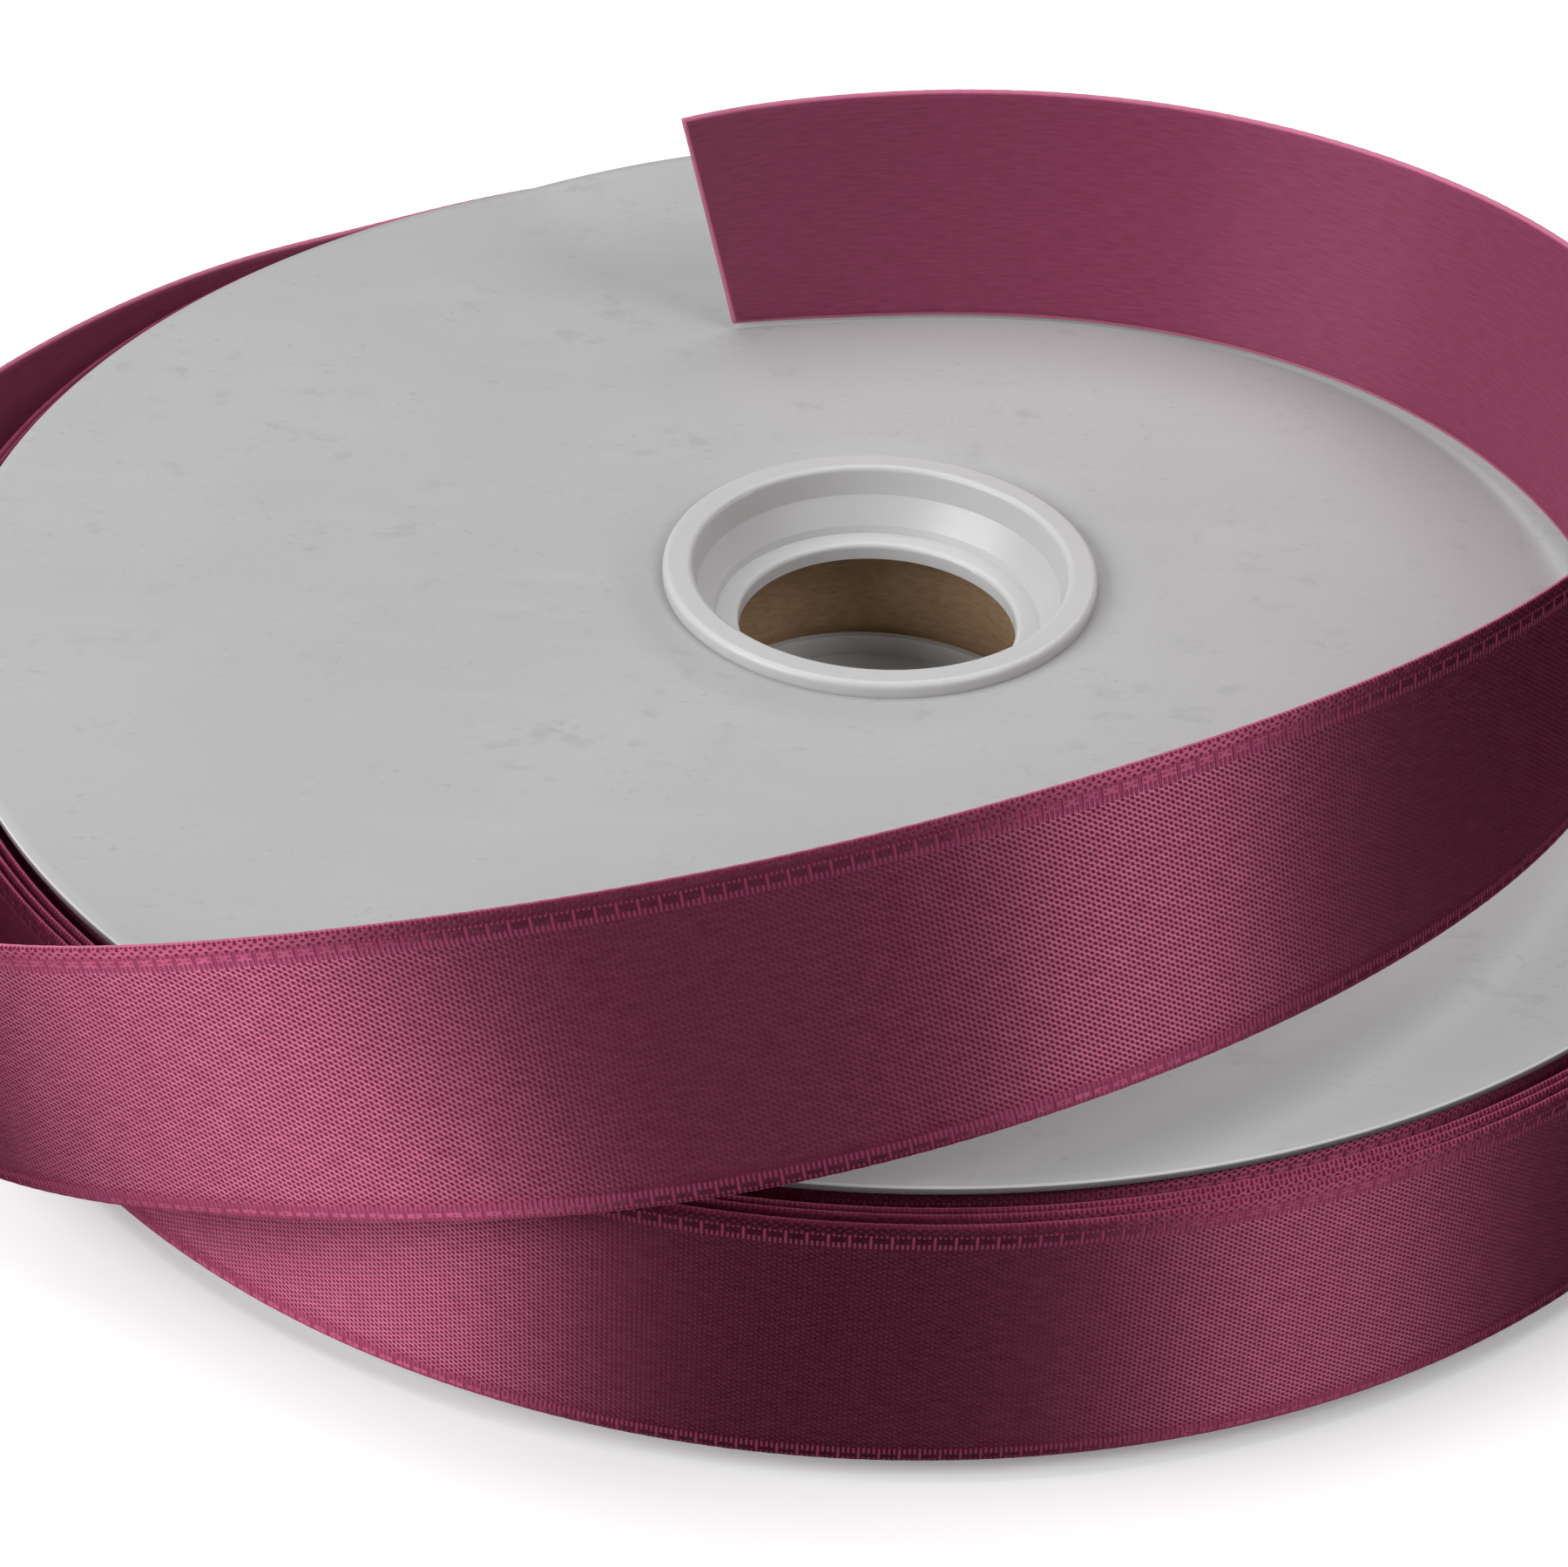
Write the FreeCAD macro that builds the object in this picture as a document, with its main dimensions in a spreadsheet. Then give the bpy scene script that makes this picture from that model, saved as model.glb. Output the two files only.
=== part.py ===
import FreeCAD, Part
import math
import os

import Sketcher
from FreeCAD import Placement, Rotation, Vector

# A reel of satin ribbon, lying on one side with its outer turns loose.
#
# Frame: millimetres, +Z along the spindle bore, origin at the middle of the bore.
# The reel itself is the same above and below the plane Z = 0.  It rests on the
# lower plug's rim.  The ribbon runs anticlockwise seen from +Z, from the pack
# through the loose turns to the free tail, which climbs over the upper flange.

doc = FreeCAD.newDocument("ribbon_spool")

# ---------------------------------------------------------------- driving dimensions

DIMENSIONS = [
    ("ribbon_width", 15.0, "width of the ribbon"),
    ("ribbon_thickness", 0.3, "thickness of one loose layer, weave and air"),
    ("side_clearance", 0.1, "gap between the ribbon's selvedge and each card disc"),
    ("flange_diameter", 105.0, "card disc"),
    ("card_thickness", 0.5, "card disc"),
    ("core_inside", 23.2, "inside diameter of the paper core"),
    ("core_wall", 1.5, "wall of the paper core"),
    ("pack_diameter", 104.4, "outside of the tight winding"),
    ("rim_diameter", 24.8, "plug's rim, which lies on the card"),
    ("rim_height", 0.9, "how far the rim stands out from the card"),
    ("rim_rounding", 0.35, "round on both edges of the rim"),
    ("mouth_diameter", 21.5, "opening inside the rim"),
    ("mouth_depth", 1.7, "depth of the straight wall below the rim's face"),
    ("funnel_top", 20.8, "diameter where the straight wall ends"),
    ("funnel_foot", 18.9, "diameter where the sloped wall ends"),
    ("ledge_diameter", 18.6, "outside of the flat ledge round the bore"),
    ("ledge_step", 0.45, "step from the sloped wall down to the ledge"),
    ("floor_depth", 3.7, "depth of the ledge below the rim's face"),
    ("floor_thickness", 1.0, "floor of the plug"),
    ("bore_diameter", 16.0, "spindle bore through the floor"),
    ("bore_rounding", 0.3, "round where the ledge turns into the bore"),
    ("plug_depth", 6.0, "whole length of a plug"),
    ("plug_gap", 0.05, "radial gap between the plug's sleeve and the core"),
    ("sleeve_wall", 0.8, "wall of the plug's sleeve"),
    ("sleeve_chamfer", 0.3, "lead-in at the sleeve's end"),
    ("tape_thickness", 0.1, "tape that fixes the ribbon's start to the core"),
    ("tape_width", 12.0, "same tape, along Z"),
    ("tape_angle", 70.0, "same tape, degrees round the core"),
]

sheet = doc.addObject("Spreadsheet::Sheet", "Dimensions")
for row, (alias, value, meaning) in enumerate(DIMENSIONS, start=1):
    sheet.set(f"A{row}", alias)
    sheet.set(f"B{row}", str(value))
    sheet.set(f"C{row}", meaning)
    sheet.setAlias(f"B{row}", alias)
doc.recompute()


def size(alias):
    """A driving dimension as a plain number."""
    return float(sheet.get(alias))


def bound(text):
    """Text with a $ before each alias, as an expression on the sheet."""
    return text.replace("$", "Dimensions.")


# Heights above the middle plane, as expressions.
CARD_INSIDE = "($ribbon_width / 2 + $side_clearance)"
CARD_OUTSIDE = f"({CARD_INSIDE} + $card_thickness)"
RIM_FACE = f"({CARD_OUTSIDE} + $rim_height)"

# ---------------------------------------------------------------- ribbon's route

# The loose turns: degrees round the reel and radius of the ribbon's middle.
# Nearly three turns, wide at the front (270 degrees) and drawn close at the back.
# The last station is where the tail begins.
LOOSE_ROUTE = [
    (-880, 52.85), (-810, 53.30), (-730, 52.98), (-640, 52.81), (-594, 52.82), (-560, 53.02),
    (-450, 53.75), (-370, 53.35), (-280, 53.14), (-234, 53.18), (-200, 53.43), (-140, 54.05),
    (-90, 54.45), (-40, 54.10), (0, 53.85), (40, 53.58), (80, 53.48), (105, 53.49),
    (120, 53.53), (126, 53.62),
]

# The tail: degrees, radius and height of the ribbon's middle, and how far its
# upper edge leans outwards, in degrees.  It leaves the turns at the back left,
# rises across the front and comes down to stand on the upper flange.
TAIL_ROUTE = [
    (130, 53.9, 0.0, 0),
    (134, 54.5, 0.0, 0),
    (138, 55.2, 0.0, 0),
    (150, 56.8, -0.1, 2),
    (175, 60.0, 0.0, 8),
    (200, 62.6, 1.7, 17),
    (220, 63.6, 5.6, 9),
    (240, 59.4, 11.9, -4),
    (260, 54.4, 17.0, -21),
    (280, 49.5, 19.8, -21),
    (305, 45.1, 20.3, -12),
    (335, 42.8, 19.0, -2),
    (365, 41.0, 17.3, 8),
    (395, 38.5, 16.2, 6),
    (425, 34.2, 16.0, 5),
    (455, 30.4, 16.0, 3),
    (472, 29.6, 16.0, -2),
]
TAIL_CUT_SLANT = 4.0    # how much further the upper edge runs at the cut end

# ---------------------------------------------------------------- helpers


def polar(degrees, radius, height=0.0):
    """A point given by its angle round Z, its radius and its height."""
    angle = math.radians(degrees)
    return Vector(radius * math.cos(angle), radius * math.sin(angle), height)


def plane_of(body, role):
    """One of the body's own origin planes."""
    return next(item for item in body.Origin.OriginFeatures if item.Role == role)


def sketch_on(body, role, name):
    """A new sketch on one of the body's origin planes."""
    sketch = body.newObject("Sketcher::SketchObject", name)
    sketch.AttachmentSupport = [(plane_of(body, role), "")]
    sketch.MapMode = "FlatFace"
    return sketch


def name_and_bind(sketch, index, name, expression):
    """Name a constraint and tie its value to the sheet."""
    sketch.renameConstraint(index, name)
    sketch.setExpression(f"Constraints.{name}", bound(expression))


def ring_body(label, outer, inner, height, base):
    """A flat ring or tube: two circles padded up from the height called base."""
    body = doc.addObject("PartDesign::Body", label)
    body.Label = label
    sketch = sketch_on(body, "XY_Plane", f"{label}_circles")
    for name, diameter in (("outer", outer), ("inner", inner)):
        circle = sketch.addGeometry(Part.Circle(Vector(0, 0, 0), Vector(0, 0, 1), 10), False)
        sketch.addConstraint(Sketcher.Constraint("Coincident", circle, 3, -1, 1))
        index = sketch.addConstraint(Sketcher.Constraint("Diameter", circle, 20))
        name_and_bind(sketch, index, name, diameter)
    pad = body.newObject("PartDesign::Pad", f"{label}_pad")
    pad.Profile = sketch
    pad.setExpression("Length", bound(height))
    body.setExpression("Placement.Base.z", bound(base))
    return body


def turned_body(label, corners, angle="360"):
    """A piece turned about Z.  Its corners are (name, radius, height) expressions."""
    body = doc.addObject("PartDesign::Body", label)
    body.Label = label
    sketch = sketch_on(body, "XZ_Plane", f"{label}_profile")
    # The sides start as a regular polygon; the constraints then place each corner.
    count = len(corners)
    around = [polar(360 * step / count, 10) + Vector(20, 20, 0) for step in range(count)]
    for step in range(count):
        sketch.addGeometry(Part.LineSegment(around[step], around[(step + 1) % count]), False)
    for step, (name, radius, height) in enumerate(corners):
        sketch.addConstraint(Sketcher.Constraint("Coincident", (step - 1) % count, 2, step, 1))
        across = Sketcher.Constraint("DistanceX", -1, 1, step, 1, around[step].x)
        name_and_bind(sketch, sketch.addConstraint(across), f"{name}_radius", radius)
        if height == "0":
            sketch.addConstraint(Sketcher.Constraint("PointOnObject", step, 1, -1))
        else:
            up = Sketcher.Constraint("DistanceY", -1, 1, step, 1, around[step].y)
            name_and_bind(sketch, sketch.addConstraint(up), f"{name}_height", height)
    turn = body.newObject("PartDesign::Revolution", f"{label}_turn")
    turn.Profile = sketch
    turn.ReferenceAxis = (sketch, ["V_Axis"])
    turn.setExpression("Angle", angle)
    return body


def round_edges(body, kind, name, circles, setting, expression):
    """Fillet or chamfer the body's circular edges that lie at (radius, height)."""
    doc.recompute()
    base = body.Tip
    found = []
    for number, edge in enumerate(base.Shape.Edges, start=1):
        curve = edge.Curve
        if not isinstance(curve, Part.Circle):
            continue
        for radius, height in circles:
            if abs(curve.Radius - radius) < 0.01 and abs(curve.Center.z - height) < 0.01:
                found.append(f"Edge{number}")
    if len(found) != len(circles):
        raise RuntimeError(f"{name}: found {len(found)} edges, expected {len(circles)}")
    feature = body.newObject(kind, name)
    feature.Base = (base, found)
    feature.setExpression(setting, bound(expression))
    return feature


# ---------------------------------------------------------------- reel

core_tube = ring_body(
    "core_tube",
    outer="$core_inside + 2 * $core_wall",
    inner="$core_inside",
    height=f"2 * {CARD_INSIDE}",
    base=f"-{CARD_INSIDE}",
)

card_disc = ("$flange_diameter", "$core_inside", "$card_thickness")
upper_flange = ring_body("upper_flange", *card_disc, base=CARD_INSIDE)
lower_flange = ring_body("lower_flange", *card_disc, base=f"-{CARD_OUTSIDE}")

ribbon_pack = ring_body(
    "ribbon_pack",
    outer="$pack_diameter",
    inner="$core_inside + 2 * $core_wall + 2 * $tape_thickness",
    height="$ribbon_width",
    base="-$ribbon_width / 2",
)


def hub_plug(label):
    """A stepped plug, with its inner end at height 0 and its rim's face at plug_depth."""
    sleeve = "($core_inside / 2 - $plug_gap)"
    ledge_height = "($plug_depth - $floor_depth)"
    floor_height = f"({ledge_height} - $floor_thickness)"
    body = turned_body(label, [
        ("bore_foot", "$bore_diameter / 2", floor_height),
        ("bore_top", "$bore_diameter / 2", ledge_height),
        ("ledge", "$ledge_diameter / 2", ledge_height),
        ("funnel_foot", "$funnel_foot / 2", f"{ledge_height} + $ledge_step"),
        ("funnel_top", "$funnel_top / 2", "$plug_depth - $mouth_depth"),
        ("rim_inside", "$mouth_diameter / 2", "$plug_depth"),
        ("rim_outside", "$rim_diameter / 2", "$plug_depth"),
        ("rim_foot", "$rim_diameter / 2", "$plug_depth - $rim_height"),
        ("sleeve_top", sleeve, "$plug_depth - $rim_height"),
        ("sleeve_end", sleeve, "0"),
        ("sleeve_inside", f"{sleeve} - $sleeve_wall", "0"),
        ("floor_edge", f"{sleeve} - $sleeve_wall", floor_height),
    ])
    top = size("plug_depth")
    rim_edges = [(size("mouth_diameter") / 2, top), (size("rim_diameter") / 2, top)]
    round_edges(body, "PartDesign::Fillet", f"{label}_rim_round", rim_edges, "Radius", "$rim_rounding")
    bore_edge = [(size("bore_diameter") / 2, top - size("floor_depth"))]
    round_edges(body, "PartDesign::Fillet", f"{label}_bore_round", bore_edge, "Radius", "$bore_rounding")
    sleeve_edge = [(size("core_inside") / 2 - size("plug_gap"), 0)]
    round_edges(body, "PartDesign::Chamfer", f"{label}_lead_in", sleeve_edge, "Size", "$sleeve_chamfer")
    return body


upper_hub_plug = hub_plug("upper_hub_plug")
upper_hub_plug.setExpression("Placement.Base.z", bound(f"{RIM_FACE} - $plug_depth"))

# The lower plug is the same moulding turned over.
lower_hub_plug = hub_plug("lower_hub_plug")
lower_hub_plug.Placement = Placement(Vector(0, 0, 0), Rotation(Vector(1, 0, 0), 180))
lower_hub_plug.setExpression("Placement.Base.z", bound(f"$plug_depth - {RIM_FACE}"))

# The tape lies on the core, under the first turn of the pack.
tape_foot = "$core_inside / 2 + $core_wall"
tape_top = f"{tape_foot} + $tape_thickness"
start_tape = turned_body("start_tape", [
    ("inside_foot", tape_foot, "0"),
    ("outside_foot", tape_top, "0"),
    ("outside_top", tape_top, "$tape_width"),
    ("inside_top", tape_foot, "$tape_width"),
], angle=bound("$tape_angle"))
start_tape.setExpression("Placement.Base.z", bound("-$tape_width / 2"))

# ---------------------------------------------------------------- loose ribbon


def ribbon_route():
    """Radius, height and lean along the whole ribbon, as a curve that takes degrees."""
    stations = [(degrees, radius, 0, 0) for degrees, radius in LOOSE_ROUTE] + TAIL_ROUTE
    curve = Part.BSplineCurve()
    curve.interpolate(Points=[Vector(*values) for degrees, *values in stations],
                      Parameters=[degrees for degrees, *values in stations])
    return curve


def even_steps(first, last, length):
    """Evenly spaced numbers from first to last, about length apart."""
    count = round((last - first) / length)
    return [first + (last - first) * step / count for step in range(count + 1)]


def smooth_curve(points):
    """One smooth curve through the points."""
    curve = Part.BSplineCurve()
    curve.interpolate(points)
    return curve


def ribbon_frames(first, last, length):
    """Middle point, direction and inward direction, each length degrees or so."""
    route = ribbon_route()
    frames = []
    for degrees in even_steps(first, last, length):
        radius, height, lean = route.value(degrees)
        radius_rate, height_rate, lean_rate = route.getDN(degrees, 1) * (180 / math.pi)
        outward = polar(degrees, 1)
        along = outward * radius_rate + polar(degrees + 90, radius, height_rate)
        inward = Vector(0, 0, 1).cross(along).normalize()
        frames.append((polar(degrees, radius, height), along.normalize(), inward, math.radians(lean)))
    return frames


def loose_turns_shape():
    """The loose turns as one upright spiral strip."""
    half_thickness = size("ribbon_thickness") / 2
    inner, outer = [], []
    for middle, along, inward, lean in ribbon_frames(LOOSE_ROUTE[0][0], LOOSE_ROUTE[-1][0], 15):
        middle.z = -size("ribbon_width") / 2        # the turns stand level
        inner.append(middle + inward * half_thickness)
        outer.append(middle - inward * half_thickness)
    outline = Part.Wire([
        smooth_curve(inner).toShape(),
        Part.makeLine(inner[-1], outer[-1]),
        smooth_curve(outer).toShape(),
        Part.makeLine(outer[0], inner[0]),
    ])
    return Part.Face(outline).extrude(Vector(0, 0, size("ribbon_width")))


def tail_shape():
    """The free tail: a strip of even width and thickness along its route."""
    half_width = size("ribbon_width") / 2
    half_thickness = size("ribbon_thickness") / 2
    frames = ribbon_frames(LOOSE_ROUTE[-1][0], TAIL_ROUTE[-1][0], 12)
    rows = {"inner_low": [], "inner_high": [], "outer_high": [], "outer_low": []}
    for number, (middle, along, inward, lean) in enumerate(frames, start=1):
        across = along.cross(inward) * math.cos(lean) - inward * math.sin(lean)
        face = across.cross(along).normalize() * half_thickness     # to the loop's inside
        slant = along * (TAIL_CUT_SLANT / 2 if number == len(frames) else 0)
        low = middle - across * half_width - slant
        high = middle + across * half_width + slant
        rows["inner_low"].append(low + face)
        rows["inner_high"].append(high + face)
        rows["outer_high"].append(high - face)
        rows["outer_low"].append(low - face)
    edges = [smooth_curve(points).toShape() for points in rows.values()]
    faces = [Part.makeRuledSurface(edges[side], edges[(side + 1) % 4]) for side in range(4)]
    for end in (0, -1):
        ring = [points[end] for points in rows.values()]
        faces.append(Part.makeRuledSurface(Part.makeLine(ring[0], ring[3]), Part.makeLine(ring[1], ring[2])))
    shell = Part.Shell(faces)
    shell.sewShape()
    solid = Part.Solid(shell)
    if solid.Volume < 0:
        solid.reverse()
    return solid


def ribbon_feature(label, shape):
    feature = doc.addObject("Part::Feature", label)
    feature.Label = label
    feature.Shape = shape
    return feature


loose_turns = ribbon_feature("loose_turns", loose_turns_shape())
ribbon_tail = ribbon_feature("ribbon_tail", tail_shape())

# ---------------------------------------------------------------- check and write

PIECES = [
    core_tube, upper_flange, lower_flange, upper_hub_plug, lower_hub_plug,
    start_tape, ribbon_pack, loose_turns, ribbon_tail,
]

doc.recompute()
for item in doc.Objects:
    if "Invalid" in item.State or "Error" in item.State:
        raise RuntimeError(f"{item.Name} did not rebuild: {item.State}")
for piece in PIECES:
    if piece.Shape.isNull() or not piece.Shape.isValid():
        raise RuntimeError(f"{piece.Label} has no valid shape")

os.makedirs("parts", exist_ok=True)
for piece in PIECES:
    piece.Shape.exportStep(f"parts/{piece.Label}.step")
    print(f"{piece.Label}: {len(piece.Shape.Solids)} solid, {piece.Shape.Volume:.1f} mm3")
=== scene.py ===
import math

import bpy
import numpy as np
from mathutils import Matrix, Vector


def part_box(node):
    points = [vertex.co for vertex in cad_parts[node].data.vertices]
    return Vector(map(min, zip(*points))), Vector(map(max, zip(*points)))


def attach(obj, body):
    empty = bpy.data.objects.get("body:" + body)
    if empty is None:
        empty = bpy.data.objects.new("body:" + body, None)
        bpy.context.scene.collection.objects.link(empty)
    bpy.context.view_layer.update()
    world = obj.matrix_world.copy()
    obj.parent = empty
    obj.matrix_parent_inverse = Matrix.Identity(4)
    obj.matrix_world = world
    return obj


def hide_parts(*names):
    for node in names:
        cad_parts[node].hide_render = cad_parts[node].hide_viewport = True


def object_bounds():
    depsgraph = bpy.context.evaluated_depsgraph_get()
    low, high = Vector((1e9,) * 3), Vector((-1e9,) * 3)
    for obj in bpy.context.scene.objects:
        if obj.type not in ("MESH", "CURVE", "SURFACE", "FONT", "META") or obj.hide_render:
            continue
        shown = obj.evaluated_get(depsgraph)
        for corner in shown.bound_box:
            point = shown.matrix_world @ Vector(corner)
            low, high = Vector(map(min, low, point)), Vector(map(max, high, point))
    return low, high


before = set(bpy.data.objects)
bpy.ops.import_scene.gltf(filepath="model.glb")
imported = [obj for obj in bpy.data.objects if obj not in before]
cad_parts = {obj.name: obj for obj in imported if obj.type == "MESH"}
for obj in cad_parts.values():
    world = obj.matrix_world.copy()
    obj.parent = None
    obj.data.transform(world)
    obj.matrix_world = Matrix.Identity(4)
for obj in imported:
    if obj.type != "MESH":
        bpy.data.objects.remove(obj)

cad_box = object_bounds()

# A reel of satin ribbon in its row frame: metres, +Z along the spindle bore, origin at
# the middle of the bore.  The ribbon is rebuilt as woven cloth and the card discs as
# slightly sprung card.  The hub's plastic and paper keep their CAD shapes.

MM = 0.001

# ---------------------------------------------------------------- ribbon's sizes

RIBBON_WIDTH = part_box("ribbon_pack")[1].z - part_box("ribbon_pack")[0].z
RIBBON_THICKNESS = 0.26 * MM
PICK_PITCH = 0.2445 * MM        # from one weft thread to the next, along the ribbon
TIE_PITCH = 0.283 * MM          # from one tie to the next on a weft thread: five warp threads
LADDER_PITCH = 4 * PICK_PITCH   # from one thick stitch of the selvedges to the next
ROW_PITCH = 0.36 * MM           # two rows of beads in the plain weave at the ribbon's edges
LOOSE_LENGTH = 1.232            # flat length of the loose turns and the tail

# The loose ribbon's route: degrees round the reel and radius of the ribbon's middle, and
# for the tail also its height and how far its upper edge leans outwards, in degrees.
LOOSE_ROUTE = [
    (-880, 52.85), (-810, 53.30), (-730, 52.98), (-640, 52.81), (-594, 52.82), (-560, 53.02),
    (-450, 53.75), (-370, 53.35), (-280, 53.14), (-234, 53.18), (-200, 53.43), (-140, 54.05),
    (-90, 54.45), (-40, 54.10), (0, 53.85), (40, 53.58), (80, 53.48), (105, 53.49),
    (120, 53.53), (126, 53.62),
]
TAIL_ROUTE = [
    (130, 53.9, 0.0, 0),
    (134, 54.5, 0.0, 0),
    (138, 55.2, 0.0, 0),
    (150, 56.8, -0.1, 2),
    (175, 60.0, 0.0, 8),
    (200, 62.6, 1.7, 17),
    (220, 63.6, 5.6, 9),
    (240, 59.4, 11.9, -4),
    (260, 54.4, 17.0, -21),
    (280, 49.5, 19.8, -21),
    (305, 45.1, 20.3, -12),
    (335, 42.8, 19.0, -2),
    (365, 41.0, 17.3, 8),
    (395, 38.5, 16.2, 6),
    (425, 34.2, 16.0, 5),
    (455, 30.4, 16.0, 3),
    (472, 29.6, 16.0, -2),
]
CUT_SLANT = 4.0 * MM            # how much further the upper edge runs at the cut end

# ---------------------------------------------------------------- curves


def natural_spline(knots, values, at):
    """A natural cubic spline through values (one row per knot) and its slope, at each at."""
    knots, values, at = np.asarray(knots, float), np.asarray(values, float), np.asarray(at, float)
    gap = np.diff(knots)
    count = len(knots)
    system = np.eye(count)
    right = np.zeros_like(values)
    for i in range(1, count - 1):
        system[i, i - 1:i + 2] = gap[i - 1], 2 * (gap[i - 1] + gap[i]), gap[i]
        right[i] = 6 * ((values[i + 1] - values[i]) / gap[i] - (values[i] - values[i - 1]) / gap[i - 1])
    bend = np.linalg.solve(system, right)
    i = np.clip(np.searchsorted(knots, at, side="right") - 1, 0, count - 2)
    a, b, width = (knots[i + 1] - at)[:, None], (at - knots[i])[:, None], gap[i][:, None]
    low, high = values[i] / width - bend[i] * width / 6, values[i + 1] / width - bend[i + 1] * width / 6
    value = bend[i] * a**3 / (6 * width) + bend[i + 1] * b**3 / (6 * width) + low * a + high * b
    slope = -bend[i] * a**2 / (2 * width) + bend[i + 1] * b**2 / (2 * width) - low + high
    return value, slope


def unit(vectors):
    return vectors / np.linalg.norm(vectors, axis=1, keepdims=True)


def around(degrees):
    """Unit vectors out from Z, and their directions of turning, at each angle."""
    turn = np.radians(degrees)
    outward = np.stack([np.cos(turn), np.sin(turn), 0 * turn], 1)
    forward = np.stack([-np.sin(turn), np.cos(turn), 0 * turn], 1)
    return outward, forward


def ribbon_frames(degrees):
    """Middle points, and unit vectors along, across (up) and out of the face, at degrees."""
    stations = [(turn, radius, 0, 0) for turn, radius in LOOSE_ROUTE] + TAIL_ROUTE
    knots = [row[0] for row in stations]
    value, slope = natural_spline(knots, [row[1:] for row in stations], degrees)
    level = degrees < LOOSE_ROUTE[-1][0]
    value[level, 1:] = 0            # the loose turns stand level and upright
    slope[level, 1:] = 0
    radius, height = value[:, :1] * MM, value[:, 1:2] * MM
    lean = np.radians(value[:, 2:3])
    slope = slope * MM * math.degrees(1)
    outward, forward = around(degrees)
    up = np.array([0.0, 0.0, 1.0])
    middle = outward * radius + up * height
    along = unit(outward * slope[:, :1] + forward * radius + up * slope[:, 1:2])
    inward = unit(np.cross(up, along))
    across = np.cross(along, inward) * np.cos(lean) - inward * np.sin(lean)
    return middle, along, across, unit(np.cross(along, across))


def arc_length(points):
    return np.concatenate([[0], np.cumsum(np.linalg.norm(np.diff(points, axis=0), axis=1))])


# ---------------------------------------------------------------- mesh helper


def grid_mesh(name, points, uv, round_trip, reverse=None):
    """A closed mesh from points[station][ring], each ring closed, with uv in metres.

    On a round trip the last station is the first one again; otherwise both ends are capped.
    The reverse, given for each point of a ring, is 1 on the back of a cloth.
    """
    stations, ring = points.shape[:2]
    corner = np.arange(stations * ring).reshape(stations, ring)
    beside = np.roll(corner, -1, axis=1)
    quads = np.stack([corner[:-1], beside[:-1], beside[1:], corner[1:]], -1).reshape(-1, 4)
    corners = quads.ravel()
    if round_trip:
        faces = (quads % (corner[-1, 0])).tolist()
        points = points[:-1]
    else:
        faces = quads.tolist() + [corner[0, ::-1].tolist(), corner[-1].tolist()]
        corners = np.concatenate([corners, corner[0, ::-1], corner[-1]])
    mesh = bpy.data.meshes.new(name)
    mesh.from_pydata(points.reshape(-1, 3).tolist(), [], faces)
    layer = mesh.uv_layers.new(name="cloth")
    layer.data.foreach_set("uv", uv.reshape(-1, 2)[corners].astype(np.float32).ravel())
    if reverse is not None:
        side = mesh.attributes.new("reverse", "FLOAT", "POINT")
        side.data.foreach_set("value", np.tile(reverse, len(points)).astype(np.float32))
    mesh.validate()
    mesh.shade_smooth()
    piece = bpy.data.objects.new(name, mesh)
    bpy.context.scene.collection.objects.link(piece)
    return piece


# ---------------------------------------------------------------- material helpers


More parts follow.
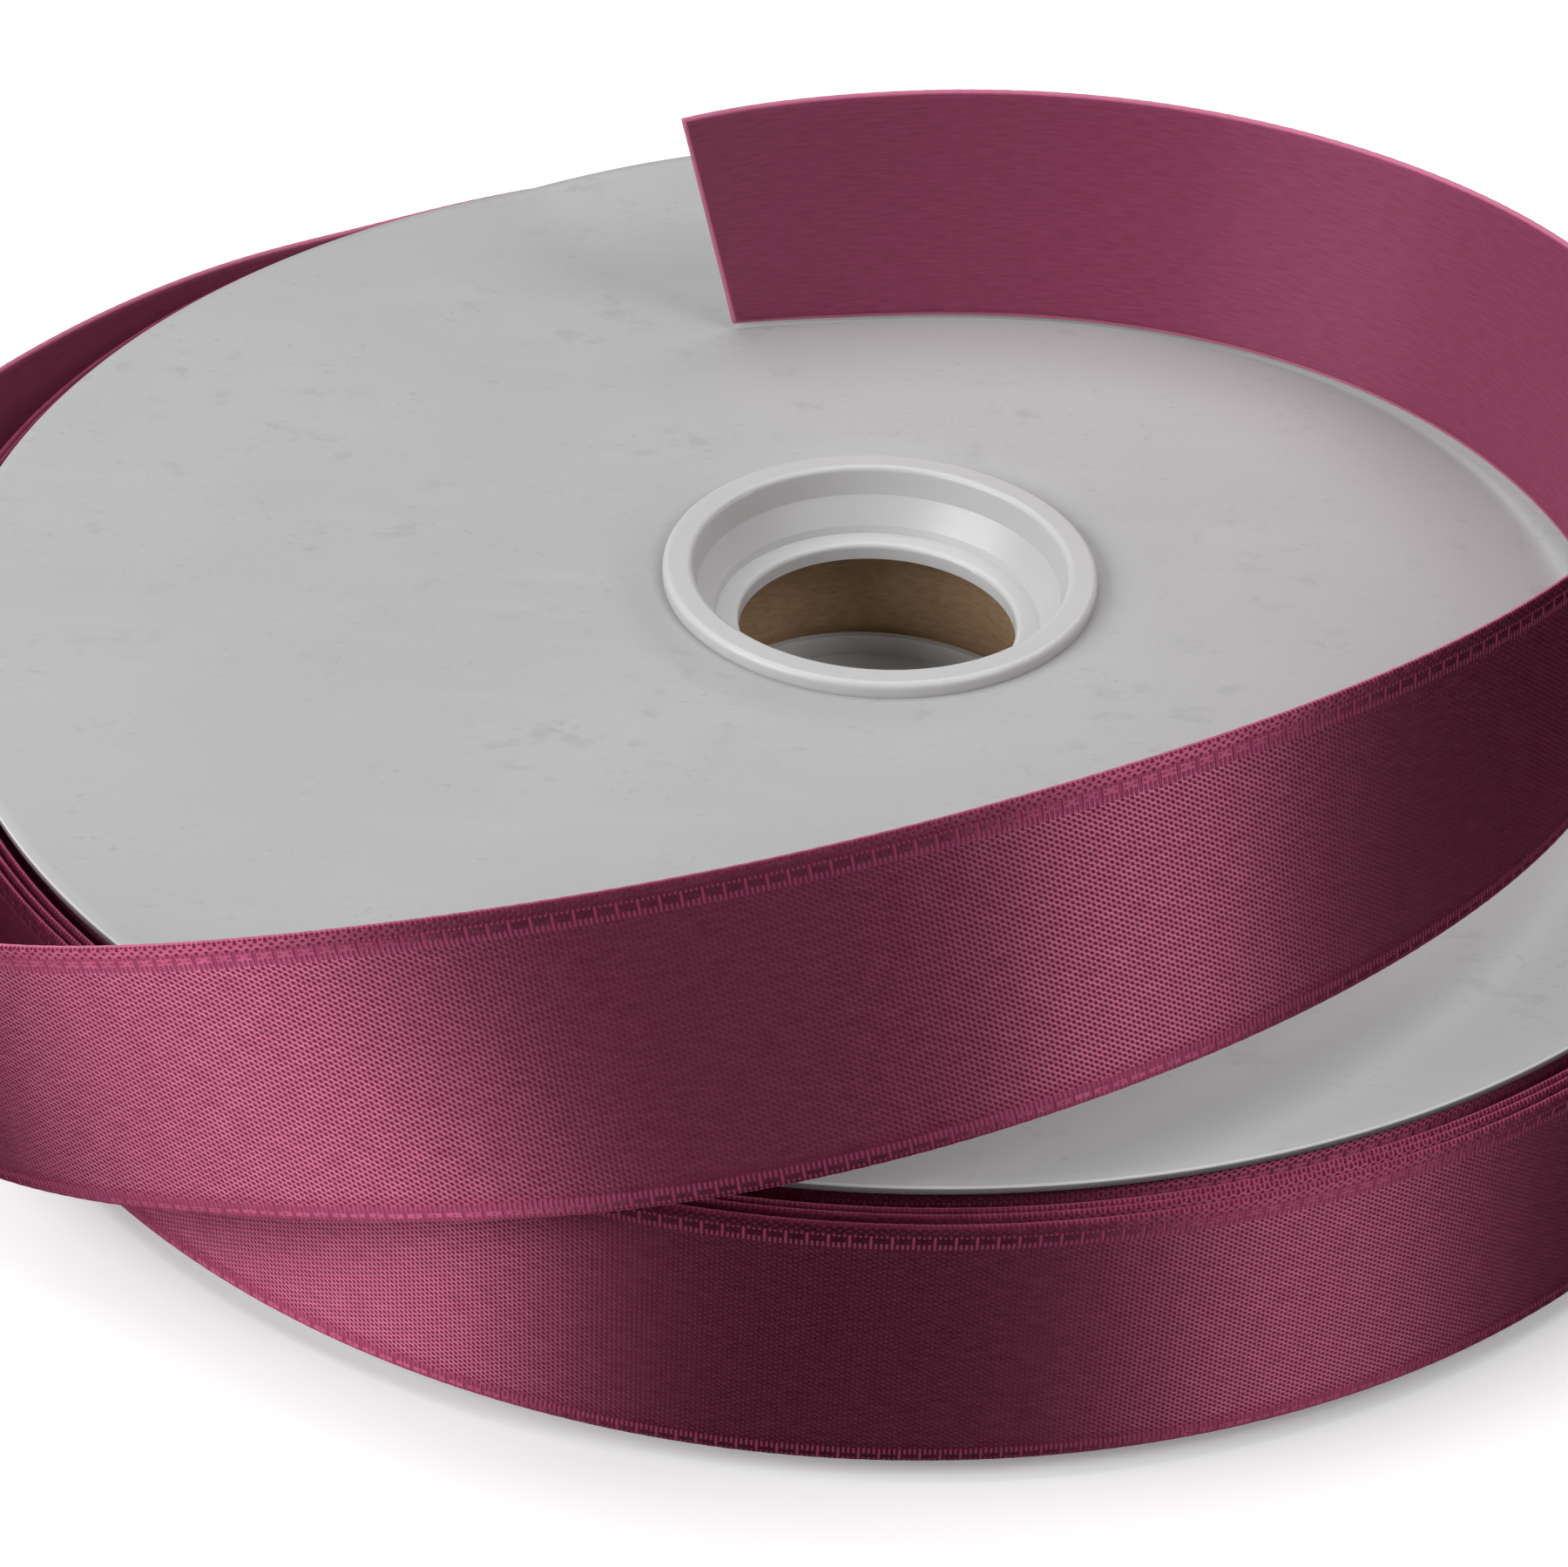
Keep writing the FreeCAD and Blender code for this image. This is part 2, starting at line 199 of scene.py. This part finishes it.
class Nodes:
    """A short way to write a material's node tree."""

    def __init__(self, name):
        self.material = bpy.data.materials.new(name)
        self.material.use_nodes = True
        self.tree = self.material.node_tree
        self.shader = self.tree.nodes["Principled BSDF"]

    def add(self, kind, **settings):
        node = self.tree.nodes.new(kind)
        for key, value in settings.items():
            setattr(node, key, value)
        return node

    def put(self, value, socket):
        if isinstance(value, bpy.types.NodeSocket):
            self.tree.links.new(value, socket)
        else:
            socket.default_value = value

    def shade(self, **sockets):
        """Set the shader's sockets, named with _ for each space."""
        for key, value in sockets.items():
            self.put(value, self.shader.inputs[key.replace("_", " ")])

    def maths(self, operation, *values, clamp=False):
        node = self.add("ShaderNodeMath", operation=operation, use_clamp=clamp)
        for value, socket in zip(values, node.inputs):
            self.put(value, socket)
        return node.outputs[0]

    def total(self, *values):
        result = values[0]
        for value in values[1:]:
            result = self.maths("ADD", result, value)
        return result

    def mix(self, share, first, second):
        node = self.add("ShaderNodeMix", data_type="RGBA")
        self.put(share, node.inputs[0])
        self.put(first, node.inputs[6])
        self.put(second, node.inputs[7])
        return node.outputs[2]

    def blend(self, share, first, second):
        node = self.add("ShaderNodeMix", data_type="FLOAT")
        self.put(share, node.inputs[0])
        self.put(first, node.inputs[2])
        self.put(second, node.inputs[3])
        return node.outputs[0]

    def place(self, stretch=(1, 1, 1)):
        """The point on the piece, in metres, with each axis scaled by stretch."""
        node = self.add("ShaderNodeMapping")
        self.put(self.add("ShaderNodeTexCoord").outputs["Object"], node.inputs["Vector"])
        node.inputs["Scale"].default_value = stretch
        return node.outputs[0]

    def noise(self, vector, scale, detail=2.0, rough=0.5):
        node = self.add("ShaderNodeTexNoise")
        self.put(vector, node.inputs["Vector"])
        node.inputs["Scale"].default_value = scale
        node.inputs["Detail"].default_value = detail
        node.inputs["Roughness"].default_value = rough
        return node.outputs["Fac"]

    def span(self, value, low, high, to_low=0.0, to_high=1.0):
        """value from low..high to to_low..to_high, smoothly, held at both ends."""
        node = self.add("ShaderNodeMapRange", interpolation_type="SMOOTHSTEP")
        for number, socket in zip((value, low, high, to_low, to_high), node.inputs):
            self.put(number, socket)
        return node.outputs[0]

    def band(self, value, low, high, soft):
        """1 between low and high and 0 outside, with edges soft wide."""
        rise = self.span(value, low - soft / 2, low + soft / 2)
        fall = self.span(value, high - soft / 2, high + soft / 2)
        return self.maths("SUBTRACT", rise, fall)

    def phase(self, first, pitch, second=0.0, second_pitch=1.0):
        """The angle that grows by a full turn for each pitch."""
        part = self.maths("MULTIPLY", second, 2 * math.pi / second_pitch)
        return self.maths("MULTIPLY_ADD", first, 2 * math.pi / pitch, part)

    def crests(self, phase, sharpness=1.0):
        """From 0 to 1 and back for each full turn; sharper crests are narrower."""
        wave = self.maths("MULTIPLY_ADD", self.maths("COSINE", phase), 0.5, 0.5)
        return self.maths("POWER", wave, sharpness)

    def bump(self, height, distance, strength=1.0):
        node = self.add("ShaderNodeBump")
        node.inputs["Strength"].default_value = strength
        node.inputs["Distance"].default_value = distance
        self.put(height, node.inputs["Height"])
        return node.outputs["Normal"]


def rgb(red, green, blue):
    return (red, green, blue, 1.0)


def grey(level):
    return rgb(level, level, level)


# ---------------------------------------------------------------- materials


def weft_showing(nodes, along, across):
    """How far a weft thread shows, from 0 to 1, and where the selvedges' thick stitches are."""
    # The body is a five-end satin: each weft thread ties every fifth warp thread down,
    # two threads further on at each pick.
    first = nodes.phase(along, PICK_PITCH / 0.4, across, -TIE_PITCH)
    second = nodes.phase(along, PICK_PITCH / 0.6, across, TIE_PITCH)
    both = nodes.maths("ADD", first, second)
    ties = nodes.total(*(nodes.maths("MULTIPLY", nodes.maths("COSINE", angle), share)
                         for angle, share in ((first, 0.7), (second, 1.4), (both, 0.9))))
    body = nodes.span(ties, -0.8, 1.8)

    inset = nodes.maths("SUBTRACT", RIBBON_WIDTH / 2, nodes.maths("ABSOLUTE", across))
    picks = nodes.crests(nodes.phase(along, PICK_PITCH))
    ladder = nodes.crests(nodes.phase(along, LADDER_PITCH), 14.0)
    rows = nodes.phase(inset, ROW_PITCH)
    pairs = nodes.phase(along, 2 * PICK_PITCH)
    plain = nodes.total(nodes.maths("COSINE", nodes.total(pairs, rows)),
                        nodes.maths("COSINE", nodes.maths("SUBTRACT", pairs, rows)))
    beads = nodes.span(plain, 0.2, 1.6)

    def selvedge(rim, rows, cells, comb):
        """Bands from the edge inwards, each given by where it ends in millimetres."""
        ends = [end * MM for end in (rim, rows, cells, comb)]
        starts = [-0.2 * MM] + ends[:-1]
        border = nodes.total(nodes.band(inset, starts[2], starts[2] + 0.13 * MM, 0.04 * MM),
                             nodes.band(inset, ends[2] - 0.13 * MM, ends[2], 0.04 * MM))
        stitches = nodes.maths("MAXIMUM", ladder, nodes.maths("MULTIPLY", border, picks))
        stitches = nodes.maths("MAXIMUM", stitches, nodes.maths("MULTIPLY", beads, 0.25))
        patterns = (picks, beads, stitches, picks)
        parts = [
            nodes.maths("MULTIPLY", nodes.band(inset, start, end, 0.05 * MM), pattern)
            for start, end, pattern in zip(starts, ends, patterns)
        ]
        inner = nodes.maths("MULTIPLY", nodes.span(inset, ends[-1], ends[-1] + 0.05 * MM), body)
        thick = nodes.band(inset, ends[1], ends[3], 0.05 * MM)
        return nodes.total(*parts, inner), thick

    upper = selvedge(rim=0.12, rows=0.60, cells=1.22, comb=1.42)
    lower = selvedge(rim=0.10, rows=0.12, cells=0.62, comb=0.84)
    is_upper = nodes.maths("GREATER_THAN", across, 0.0)
    return [nodes.blend(is_upper, below, above) for below, above in zip(lower, upper)]


EDGE_GLOW_COLOUR = rgb(0.560, 0.170, 0.285)   # painted highlight: a pale glow along the edges of the ribbon's tail
EDGE_GLOW_STARTS = (0.88, 0.96)               # how far along the ribbon the painted edge highlight begins to show


def satin(name):
    """Burgundy satin: bright warp floats tied down by duller weft threads, a matt back, and a painted
    highlight along the edges of the tail's end.
    """
    nodes = Nodes(name)
    split = nodes.add("ShaderNodeSeparateXYZ")
    nodes.put(nodes.add("ShaderNodeUVMap", uv_map="cloth").outputs[0], split.inputs[0])
    along, across = split.outputs[0], split.outputs[1]
    weft, thick = weft_showing(nodes, along, across)
    streak = nodes.add("ShaderNodeCombineXYZ")
    nodes.put(nodes.maths("MULTIPLY", along, 0.12), streak.inputs[0])
    nodes.put(across, streak.inputs[1])
    yarn = nodes.noise(streak.outputs[0], 6000.0, 3.0)
    streaks = nodes.span(yarn, 0.3, 0.7)
    inset = nodes.maths("SUBTRACT", RIBBON_WIDTH / 2, nodes.maths("ABSOLUTE", across))
    # A float is brightest along its crown and darker on its flanks, and darker still
    # where it dips under a weft thread.
    crown = nodes.mix(streaks, rgb(0.460, 0.125, 0.220), rgb(0.600, 0.185, 0.305))
    flank = nodes.mix(streaks, rgb(0.250, 0.020, 0.070), rgb(0.310, 0.028, 0.092))
    crown = nodes.mix(nodes.span(inset, 0.9 * MM, 1.5 * MM, 0.4, 0.0), crown, flank)
    weft_colour = nodes.mix(streaks, rgb(0.095, 0.013, 0.032), rgb(0.120, 0.018, 0.042))
    weft_colour = nodes.mix(thick, weft_colour, rgb(0.230, 0.055, 0.110))
    face_colour = nodes.mix(nodes.span(weft, 0.0, 0.35), crown, flank)
    face_colour = nodes.mix(nodes.span(weft, 0.35, 1.0), face_colour, weft_colour)
    back_colour = nodes.mix(streaks, rgb(0.215, 0.045, 0.090), rgb(0.260, 0.056, 0.112))
    back_colour = nodes.mix(nodes.maths("MULTIPLY", weft, 0.1), back_colour, rgb(0.190, 0.036, 0.080))
    # Painted highlight: the edges near the tail's end, which nothing shades, are painted paler to stand for
    # light glowing through them; the edges of the loose turns, which lie in shade, keep the cloth's colour.
    glowing_end = nodes.span(along, *EDGE_GLOW_STARTS)
    cut = nodes.maths("MULTIPLY_ADD", across, CUT_SLANT / RIBBON_WIDTH, LOOSE_LENGTH)
    to_edge = nodes.maths("MINIMUM", inset, nodes.maths("SUBTRACT", cut, along))
    face_edge_glow = nodes.maths("MULTIPLY", glowing_end, nodes.span(to_edge, 0.02 * MM, 0.07 * MM, 0.6, 0.0))
    back_edge_glow = nodes.maths("MULTIPLY", glowing_end, nodes.span(to_edge, 0.10 * MM, 0.28 * MM, 1.0, 0.0))
    face_colour = nodes.mix(face_edge_glow, face_colour, EDGE_GLOW_COLOUR)
    back_colour = nodes.mix(back_edge_glow, back_colour, EDGE_GLOW_COLOUR)
    reverse = nodes.add("ShaderNodeAttribute", attribute_name="reverse").outputs["Fac"]
    outer = nodes.maths("SUBTRACT", 1.0, reverse)
    shine = nodes.maths("MULTIPLY", nodes.span(weft, 0.0, 1.0, 0.97, 0.30), outer)
    relief = nodes.maths("MULTIPLY", weft, nodes.span(reverse, 0.0, 1.0, 1.0, 0.15))
    nodes.shade(
        Base_Color=nodes.mix(reverse, face_colour, back_colour),
        Metallic=shine,
        Roughness=nodes.span(weft, 0.0, 0.6, 0.54, 0.58),
        Specular_IOR_Level=0.5,
        Specular_Tint=rgb(1.0, 0.35, 0.55),
        Anisotropic=1.0,
        Anisotropic_Rotation=0.25,
        Tangent=nodes.add("ShaderNodeTangent", direction_type="UV_MAP", uv_map="cloth").outputs[0],
        Subsurface_Weight=0.35,
        Subsurface_Radius=(1.0, 0.25, 0.45),
        Subsurface_Scale=0.12 * MM,
        Normal=nodes.bump(nodes.maths("SUBTRACT", 1.0, relief), 0.02 * MM, 0.5),
    )
    return nodes.material


def card(name, radius, low, high):
    """White-coated card: faint clouds, fine grain, smears and scuffs, and a dark grey middle layer on the
    cut edge, partly the card's grey inner layer and partly painted shade on the edge's side below its lit
    top.

    The discs lie between the heights low and high, above and below the reel's middle.
    """
    nodes = Nodes(name)
    place = nodes.place()
    cloud = nodes.noise(place, 45.0, 4.0)
    grain = nodes.noise(place, 2600.0, 2.0)
    streaks = nodes.noise(nodes.place((0.2, 1.0, 1.0)), 420.0, 3.0, 0.6)
    fibres = nodes.span(nodes.noise(nodes.place((0.6, 1.0, 1.0)), 2200.0, 3.0, 0.7), 0.56, 0.70)
    scuffs = nodes.maths("MULTIPLY", fibres, nodes.span(nodes.noise(place, 260.0, 2.0), 0.50, 0.62))
    flat = nodes.add("ShaderNodeVectorMath", operation="LENGTH")
    nodes.put(nodes.place((1.0, 1.0, 0.0)), flat.inputs[0])
    cut = nodes.span(flat.outputs["Value"], radius - 0.10 * MM, radius - 0.04 * MM)
    height = nodes.add("ShaderNodeSeparateXYZ")
    nodes.put(place, height.inputs[0])
    off_middle = nodes.maths("ABSOLUTE", height.outputs[2])
    # Painted shade: the cut edge is dark grey between a thin pale top and bottom, partly the card's grey
    # inner layer and partly painted shade on the side of the edge.
    core_and_shade = nodes.band(off_middle, low + 0.07 * MM, high - 0.12 * MM, 0.04 * MM)
    edge_colour_and_shade = nodes.mix(core_and_shade, grey(0.62), grey(0.20))
    smears = nodes.span(nodes.noise(nodes.place((0.7, 1.0, 1.0)), 560.0, 3.0, 0.6), 0.56, 0.72)
    smears = nodes.maths("MULTIPLY", smears, nodes.span(nodes.noise(place, 90.0, 2.0), 0.44, 0.60))
    coat = nodes.mix(nodes.span(cloud, 0.35, 0.65), grey(0.410), grey(0.430))
    coat = nodes.mix(nodes.span(streaks, 0.50, 0.75, 0.0, 0.35), coat, grey(0.450))
    coat = nodes.mix(nodes.maths("MULTIPLY", smears, 0.50), coat, grey(0.34))
    coat = nodes.mix(nodes.maths("MULTIPLY", scuffs, 0.35), coat, grey(0.30))
    nodes.shade(
        Base_Color=nodes.mix(cut, coat, edge_colour_and_shade),
        Roughness=nodes.span(grain, 0.2, 0.8, 0.52, 0.66),
        Specular_IOR_Level=0.35,
        Normal=nodes.bump(nodes.maths("SUBTRACT", grain, scuffs), 0.015 * MM, 0.6),
    )
    return nodes.material


def plastic(name):
    """White moulded plastic, slightly satin and slightly translucent."""
    nodes = Nodes(name)
    place = nodes.place()
    grain = nodes.noise(place, 3000.0, 2.0)
    cloud = nodes.noise(place, 90.0, 2.0)
    nodes.shade(
        Base_Color=nodes.mix(cloud, grey(0.50), grey(0.54)),
        Roughness=nodes.span(grain, 0.2, 0.8, 0.34, 0.44),
        Specular_IOR_Level=0.5,
        Subsurface_Weight=0.5,
        Subsurface_Radius=(1.0, 1.0, 1.0),
        Subsurface_Scale=0.8 * MM,
        Normal=nodes.bump(grain, 0.004 * MM, 0.4),
    )
    return nodes.material


def kraft(name):
    """Brown kraft paper, wound in a spiral, with fibres."""
    nodes = Nodes(name)
    place = nodes.place()
    cloud = nodes.noise(place, 120.0, 4.0)
    fibres = nodes.noise(nodes.place((1.0, 1.0, 3.0)), 1300.0, 4.0, 0.6)
    blend = nodes.maths("MULTIPLY_ADD", fibres, 0.5, nodes.maths("MULTIPLY", cloud, 0.5))
    nodes.shade(
        Base_Color=nodes.mix(nodes.span(blend, 0.3, 0.7), rgb(0.26, 0.165, 0.088), rgb(0.40, 0.265, 0.155)),
        Roughness=0.8,
        Specular_IOR_Level=0.3,
        Normal=nodes.bump(fibres, 0.03 * MM, 0.5),
    )
    return nodes.material


def tape(name):
    """Clear adhesive tape, a little yellowed."""
    nodes = Nodes(name)
    cloud = nodes.noise(nodes.place(), 200.0, 2.0)
    nodes.shade(
        Base_Color=nodes.mix(cloud, rgb(0.70, 0.62, 0.44), rgb(0.80, 0.74, 0.58)),
        Roughness=0.18,
        Normal=nodes.bump(cloud, 0.02 * MM, 0.4),
    )
    return nodes.material


# ---------------------------------------------------------------- ribbon

# Half of the ribbon's cross-section, from its edge inwards: how far in, and how thick
# the ribbon is there as a share of its full thickness.
EDGE_PROFILE = [(0.0, 0.45), (0.13 * MM, 1.15), (0.60 * MM, 1.20), (1.42 * MM, 0.95)]


def strip_section():
    """The ribbon's cross-section as (across, out of the face), a closed ring."""
    half_width, half_thick = RIBBON_WIDTH / 2, RIBBON_THICKNESS / 2
    side = [(-half_width + inset, share * half_thick) for inset, share in EDGE_PROFILE]
    top = side + [(-x, y) for x, y in reversed(side)]
    return np.array(top + [(x, -y) for x, y in reversed(top)])[::-1]


def loose_ribbon_strip():
    """The loose turns and the tail as one strip, with scalloped selvedges and a slanting cut."""
    first, last = LOOSE_ROUTE[0][0], TAIL_ROUTE[-1][0]
    probe = np.linspace(first, last, 4 * (last - first))
    length = arc_length(ribbon_frames(probe)[0])
    outer_turn = np.interp(-234, probe, length)     # the turns inside it hardly show
    at = np.concatenate([
        np.arange(0, outer_turn, LADDER_PITCH / 3),
        np.arange(outer_turn, length[-1], LADDER_PITCH / 6),
    ])
    middle, along, across, face = ribbon_frames(np.interp(at, length, probe))
    x, y = strip_section().T
    points = middle[:, None] + across[:, None] * x[None, :, None] + face[:, None] * y[None, :, None]
    at_edge = np.sign(x) * (np.abs(x) > RIBBON_WIDTH / 2 - 0.2 * MM)
    scallop = 0.006 * MM * np.cos(2 * math.pi * at / LADDER_PITCH)
    points += across[:, None] * (scallop[:, None] * at_edge)[..., None]
    reach = np.clip((at - at[-1] + 12 * MM) / (12 * MM), 0, 1) * CUT_SLANT
    shear = reach[:, None] * (x / RIBBON_WIDTH)
    points += along[:, None] * shear[..., None]
    run = at[:, None] - at[-1] + LOOSE_LENGTH + shear
    uv = np.stack([run, np.broadcast_to(x, shear.shape)], -1)
    return grid_mesh("loose_ribbon_strip", points, uv, round_trip=False, reverse=(y < 0) * 1.0)


def turned_mesh(name, ring, count):
    """A closed mesh turned about Z from a ring of (radius, height), with uv in metres."""
    degrees = np.linspace(0, 360, count + 1)
    outward, forward = around(degrees)
    points = outward[:, None] * ring[None, :, :1] + np.array([0, 0, 1.0]) * ring[None, :, 1:]
    run = np.radians(degrees)[:, None] * ring[:, :1].max()
    uv = np.stack(np.broadcast_arrays(run, ring[None, :, 1]), -1)
    return grid_mesh(name, points, uv, round_trip=True)


def wound_ribbon():
    """The tight winding: each turn's two selvedges show as a ridge on the ends."""
    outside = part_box("ribbon_pack")[1].x
    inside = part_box("start_tape")[1].x
    turn = 0.3 * MM
    radii = np.linspace(inside, outside, 2 * int((outside - inside) / turn) + 1)
    dip = np.where(np.arange(len(radii)) % 2, 0.0, 0.08 * MM)
    top = np.stack([radii, RIBBON_WIDTH / 2 - dip], 1)
    sides = np.linspace(RIBBON_WIDTH / 2 - 0.6 * MM, -RIBBON_WIDTH / 2 + 0.6 * MM, 3)
    outer = np.stack([np.full(3, outside), sides], 1)
    inner = np.stack([np.full(3, inside), sides[::-1]], 1)
    ring = np.concatenate([top, outer, (top * [1, -1])[::-1], inner])
    return turned_mesh("wound_ribbon", ring, 150)


# ---------------------------------------------------------------- card discs

CORE_INSIDE = 11.6 * MM         # radius of the hole in each disc
CARD_LIFT = 1.45 * MM           # how far the upper disc springs up at its back edge
LIFT_SPREAD = 26.5              # degrees each side of the back over which it does
LIFT_START = 28.0 * MM          # radius where the disc begins to bend


def card_disc(name, node, lift):
    """A card disc with softened cut edges; lift is how far its back edge springs up."""
    low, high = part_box(node)
    outside, soft = high.x, 0.07 * MM
    across = np.concatenate([[CORE_INSIDE, CORE_INSIDE + soft], np.linspace(16 * MM, 50 * MM, 18),
                             [51 * MM, 51.8 * MM, outside - soft, outside]])
    drop = np.where((across == across[0]) | (across == across[-1]), soft, 0.0)
    top = np.stack([across, high.z - drop], 1)
    bottom = np.stack([across, low.z + drop], 1)[::-1]
    disc = turned_mesh(name, np.concatenate([top, bottom]), 288)
    for vertex in disc.data.vertices:
        radius = math.hypot(vertex.co.x, vertex.co.y)
        away = abs(math.degrees(math.atan2(vertex.co.x, vertex.co.y)))
        if lift and radius > LIFT_START and away < LIFT_SPREAD:
            bend = (radius - LIFT_START) / (outside - LIFT_START)
            vertex.co.z += lift * bend**2 * math.cos(math.radians(away * 90 / LIFT_SPREAD))
    return disc


# ---------------------------------------------------------------- build


def finish_piece(piece, material, slot, body, *nodes):
    """Give a piece its material, hide the CAD nodes it takes the place of, and attach it to the body it
    moves with.
    """
    piece.data.materials.append(material)
    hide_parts(*nodes)
    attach(piece, body)


def finish_node(node, material):
    """Give a carried-over CAD node its material."""
    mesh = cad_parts[node].data
    mesh.materials.clear()
    mesh.materials.append(material)


satin_ribbon = satin("satin_ribbon_cloth")
card_low, card_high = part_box("upper_flange")
coated_card = card("coated_card_stock", card_high.x, card_low.z, card_high.z)
white_plastic = plastic("white_moulded_plastic")

strip = loose_ribbon_strip()
finish_piece(strip, satin_ribbon, "satin_ribbon", "loose_ribbon", "loose_turns", "ribbon_tail")
finish_piece(wound_ribbon(), satin_ribbon, "satin_ribbon", "reel", "ribbon_pack")
for name, flange, lift in (("upper_card", "upper_flange", CARD_LIFT), ("lower_card", "lower_flange", 0.0)):
    finish_piece(card_disc(name, flange, lift), coated_card, "coated_card", "reel", flange)
finish_node("upper_hub_plug", white_plastic)
finish_node("lower_hub_plug", white_plastic)
finish_node("core_tube", kraft("kraft_core_paper"))
finish_node("start_tape", tape("clear_start_tape"))

# ---------------------------------------------------------------- floor

FLOOR_HALF = 3.0
floor_level = cad_box[0].z
floor_mesh = bpy.data.meshes.new("floor")
floor_mesh.from_pydata(
    [(x * FLOOR_HALF, y * FLOOR_HALF, floor_level) for x, y in ((-1, -1), (1, -1), (1, 1), (-1, 1))],
    [], [(0, 1, 2, 3)])
floor = bpy.data.objects.new("floor", floor_mesh)
bpy.context.scene.collection.objects.link(floor)
floor.visible_glossy = False
paper = Nodes("floor_paper")
paper.shade(Base_Color=grey(0.95), Roughness=0.9, Emission_Color=grey(1.0), Emission_Strength=0.13)
floor.data.materials.append(paper.material)

# ---------------------------------------------------------------- light


def softbox(name, azimuth, elevation, distance, width, height, power):
    """A rectangular lamp that faces the reel, from an azimuth (from +X) and elevation."""
    lamp_data = bpy.data.lights.new(name, "AREA")
    lamp_data.shape = "RECTANGLE"
    lamp_data.size, lamp_data.size_y = width, height
    lamp_data.energy = power
    lamp = bpy.data.objects.new(name, lamp_data)
    turn, rise = math.radians(azimuth), math.radians(elevation)
    away = Vector((math.cos(rise) * math.cos(turn), math.cos(rise) * math.sin(turn), math.sin(rise)))
    lamp.location = away * distance
    lamp.rotation_euler = away.to_track_quat("Z", "Y").to_euler()
    bpy.context.scene.collection.objects.link(lamp)


softbox("left_softbox", 209, 28, 0.70, 0.56, 0.40, 4.6)
softbox("right_softbox", 325, 44, 0.70, 0.30, 0.30, 1.5)
softbox("top_softbox", 90, 78, 0.90, 1.10, 0.70, 5.9)

world = bpy.data.worlds.new("studio")
bpy.context.scene.world = world
world.use_nodes = True
world.node_tree.nodes["Background"].inputs[0].default_value = grey(1.0)
world.node_tree.nodes["Background"].inputs[1].default_value = 0.03

# ---------------------------------------------------------------- camera

CAMERA_PLACE = Vector((-5.0, -187.6, 126.4)) * MM
CAMERA_DIP, CAMERA_ROLL = math.radians(35.34), math.radians(2.23)
forward = Vector((0, math.cos(CAMERA_DIP), -math.sin(CAMERA_DIP)))
level_right = Vector((1, 0, 0))
level_up = level_right.cross(forward)
right = level_right * math.cos(CAMERA_ROLL) + level_up * math.sin(CAMERA_ROLL)
up = level_up * math.cos(CAMERA_ROLL) - level_right * math.sin(CAMERA_ROLL)
camera_data = bpy.data.cameras.new("camera")
camera_data.sensor_width = 36
camera_data.lens = 89.07
camera_data.clip_start, camera_data.clip_end = 0.01, 20
camera = bpy.data.objects.new("camera", camera_data)
camera.matrix_world = Matrix((
    (right.x, up.x, -forward.x, CAMERA_PLACE.x),
    (right.y, up.y, -forward.y, CAMERA_PLACE.y),
    (right.z, up.z, -forward.z, CAMERA_PLACE.z),
    (0, 0, 0, 1),
))
bpy.context.scene.collection.objects.link(camera)
bpy.context.scene.camera = camera
bpy.context.scene.view_settings.view_transform = "Standard"
